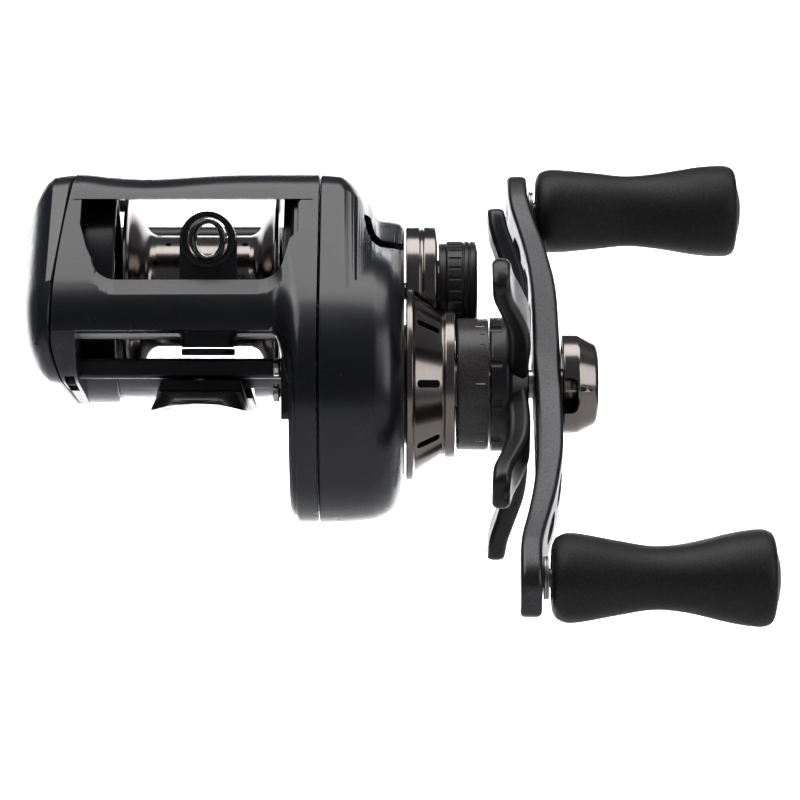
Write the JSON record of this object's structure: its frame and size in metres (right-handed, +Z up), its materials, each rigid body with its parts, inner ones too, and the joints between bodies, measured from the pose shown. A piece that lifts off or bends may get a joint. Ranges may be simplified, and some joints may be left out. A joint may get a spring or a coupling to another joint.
{
  "type": "baitcasting reel",
  "caption": "Low-profile baitcasting reel: gloss black body, smoked metal spool, level-wind guide, star drag and a swept double handle with foam knobs.",
  "frame": {"origin": "middle of the reel foot's saddle, where the foot rests on the rod", "axes": "+X from the palm side to the handle, along the spool's axis; +Y away from the line's exit, towards the thumb bar; +Z up from the rod"},
  "size_m": [0.1209, 0.0843, 0.0757],
  "materials": {
    "gloss_black": "glossy near-black lacquer",
    "satin_black": "satin black",
    "gunmetal": "smoked bright gunmetal anodise",
    "dark_alloy": "satin dark grey anodise",
    "steel": "machined",
    "brass": "machined",
    "carbon_fibre": "woven fibre, dry",
    "black_nylon": "moulded",
    "foam_grip": "matte foam",
    "guide_ceramic": "polished"
  },
  "bodies": {
    "body": {"frame": "gloss_black", "reel_foot": "dark_alloy", "foot_screw_front": "steel", "foot_screw_rear": "steel", "gear_cover": "gloss_black", "cover_screw_upper": "steel", "cover_screw_lower": "steel", "shaft_bezel": "gunmetal", "tension_boss": "gunmetal", "spool_bearing_right": "steel", "drive_shaft_bearing": "steel", "anti_reverse_bearing": "steel", "guide_rod": "steel", "worm_bush": "brass", "yoke_pin_upper": "steel", "yoke_pin_lower": "steel"},
    "crank": {"drive_shaft": "steel", "ratchet_wheel": "steel", "level_wind_drive_gear": "black_nylon", "key_washer": "steel", "anti_reverse_sleeve": "steel", "handle_arm": "dark_alloy", "handle_nut": "steel", "nut_cap": "gunmetal", "knob_pin_a": "steel", "knob_pin_b": "steel"},
    "main_gear": {"drive_gear": "brass", "drag_washer": "carbon_fibre"},
    "star": {"star_wheel": "satin_black", "star_sleeve": "satin_black", "drag_spring_washer": "steel"},
    "knob_a": {"knob_grip_a": "foam_grip", "knob_cap_a": "satin_black", "knob_bearing_a": "steel"},
    "knob_b": {"knob_grip_b": "foam_grip", "knob_cap_b": "satin_black", "knob_bearing_b": "steel"},
    "spool_group": {"spool": "gunmetal", "spool_shaft": "steel"},
    "yoke": {"clutch_yoke": "steel", "yoke_spring_upper": "steel", "yoke_spring_lower": "steel"},
    "pinion": {"pinion_gear": "brass"},
    "thumb": {"thumb_bar": "satin_black", "clutch_cam": "steel"},
    "worm": {"worm_shaft": "steel", "worm_cog": "black_nylon"},
    "idler": {"idler_gear": "black_nylon"},
    "guide": {"line_guide": "satin_black", "guide_insert": "guide_ceramic", "pawl_cap": "satin_black"},
    "pawl": {"worm_pawl": "brass"},
    "tension": {"tension_knob": "satin_black"},
    "palm": {"palm_plate": "gloss_black", "spool_bearing_left": "steel"},
    "dial": {"brake_dial": "satin_black"},
    "magnets": {"magnet_carrier": "dark_alloy"},
    "lock": {"plate_lock": "satin_black"}
  },
  "joints": [
    {"name": "crank_spin", "type": "hinge", "parent": "body", "child": "crank", "pos_m": [0, -0.012, 0.0032], "axis": [1, 0, 0], "continuous": true},
    {"name": "main_gear_spin", "type": "hinge", "parent": "body", "child": "main_gear", "pos_m": [0, -0.012, 0.0032], "axis": [1, 0, 0], "continuous": true},
    {"name": "star_turn", "type": "hinge", "parent": "crank", "child": "star", "pos_m": [0, -0.012, 0.0032], "axis": [1, 0, 0], "range_deg": [-180, 180]},
    {"name": "knob_a_spin", "type": "hinge", "parent": "crank", "child": "knob_a", "pos_m": [0, -0.04544, -0.02691], "axis": [1, 0, 0], "continuous": true},
    {"name": "knob_b_spin", "type": "hinge", "parent": "crank", "child": "knob_b", "pos_m": [0, 0.02144, 0.03331], "axis": [1, 0, 0], "continuous": true},
    {"name": "spool_spin", "type": "hinge", "parent": "body", "child": "spool_group", "pos_m": [0, 0.003, 0.0189], "axis": [1, 0, 0], "continuous": true},
    {"name": "thumb_press", "type": "slide", "parent": "body", "child": "thumb", "axis": [0, 0, -1], "range_m": [0, 0.0035]},
    {"name": "yoke_shift", "type": "slide", "parent": "body", "child": "yoke", "axis": [1, 0, 0], "range_m": [0, 0.0015]},
    {"name": "pinion_spin", "type": "hinge", "parent": "yoke", "child": "pinion", "pos_m": [0, 0.003, 0.0189], "axis": [1, 0, 0], "continuous": true},
    {"name": "worm_spin", "type": "hinge", "parent": "body", "child": "worm", "pos_m": [0, -0.02, 0.015], "axis": [1, 0, 0], "continuous": true},
    {"name": "idler_spin", "type": "hinge", "parent": "body", "child": "idler", "pos_m": [0, -0.0196, 0.008], "axis": [1, 0, 0], "continuous": true},
    {"name": "guide_traverse", "type": "slide", "parent": "body", "child": "guide", "axis": [1, 0, 0], "range_m": [-0.0107, 0.0069]},
    {"name": "pawl_swing", "type": "hinge", "parent": "guide", "child": "pawl", "pos_m": [0.0014, -0.0204, 0], "axis": [0, 0, 1], "range_deg": [-25, 25]},
    {"name": "tension_turn", "type": "hinge", "parent": "body", "child": "tension", "pos_m": [0, 0.003, 0.0189], "axis": [1, 0, 0], "range_deg": [-180, 180]},
    {"name": "palm_plate_removal", "type": "slide", "parent": "body", "child": "palm", "axis": [-1, 0, 0], "range_m": [0, 0.04]},
    {"name": "brake_dial_turn", "type": "hinge", "parent": "palm", "child": "dial", "pos_m": [0, 0.003, 0.0189], "axis": [1, 0, 0], "range_deg": [0, 270]},
    {"name": "magnet_shift", "type": "slide", "parent": "palm", "child": "magnets", "axis": [1, 0, 0], "range_m": [0, 0.0024]},
    {"name": "plate_lock_slide", "type": "slide", "parent": "body", "child": "lock", "axis": [0, 1, 0], "range_m": [0, 0.003]}
  ],
  "couplings": [
    {"joint": "main_gear_spin", "follows": "crank_spin", "ratio": 1},
    {"joint": "spool_spin", "follows": "crank_spin", "ratio": -6.4},
    {"joint": "pinion_spin", "follows": "crank_spin", "ratio": -6.4},
    {"joint": "idler_spin", "follows": "crank_spin", "ratio": -2},
    {"joint": "worm_spin", "follows": "crank_spin", "ratio": 1.5},
    {"joint": "yoke_shift", "follows": "thumb_press", "ratio": 0.42857},
    {"joint": "brake_dial_turn", "follows": "magnet_shift", "rad_per_m": 1963.5}
  ]
}
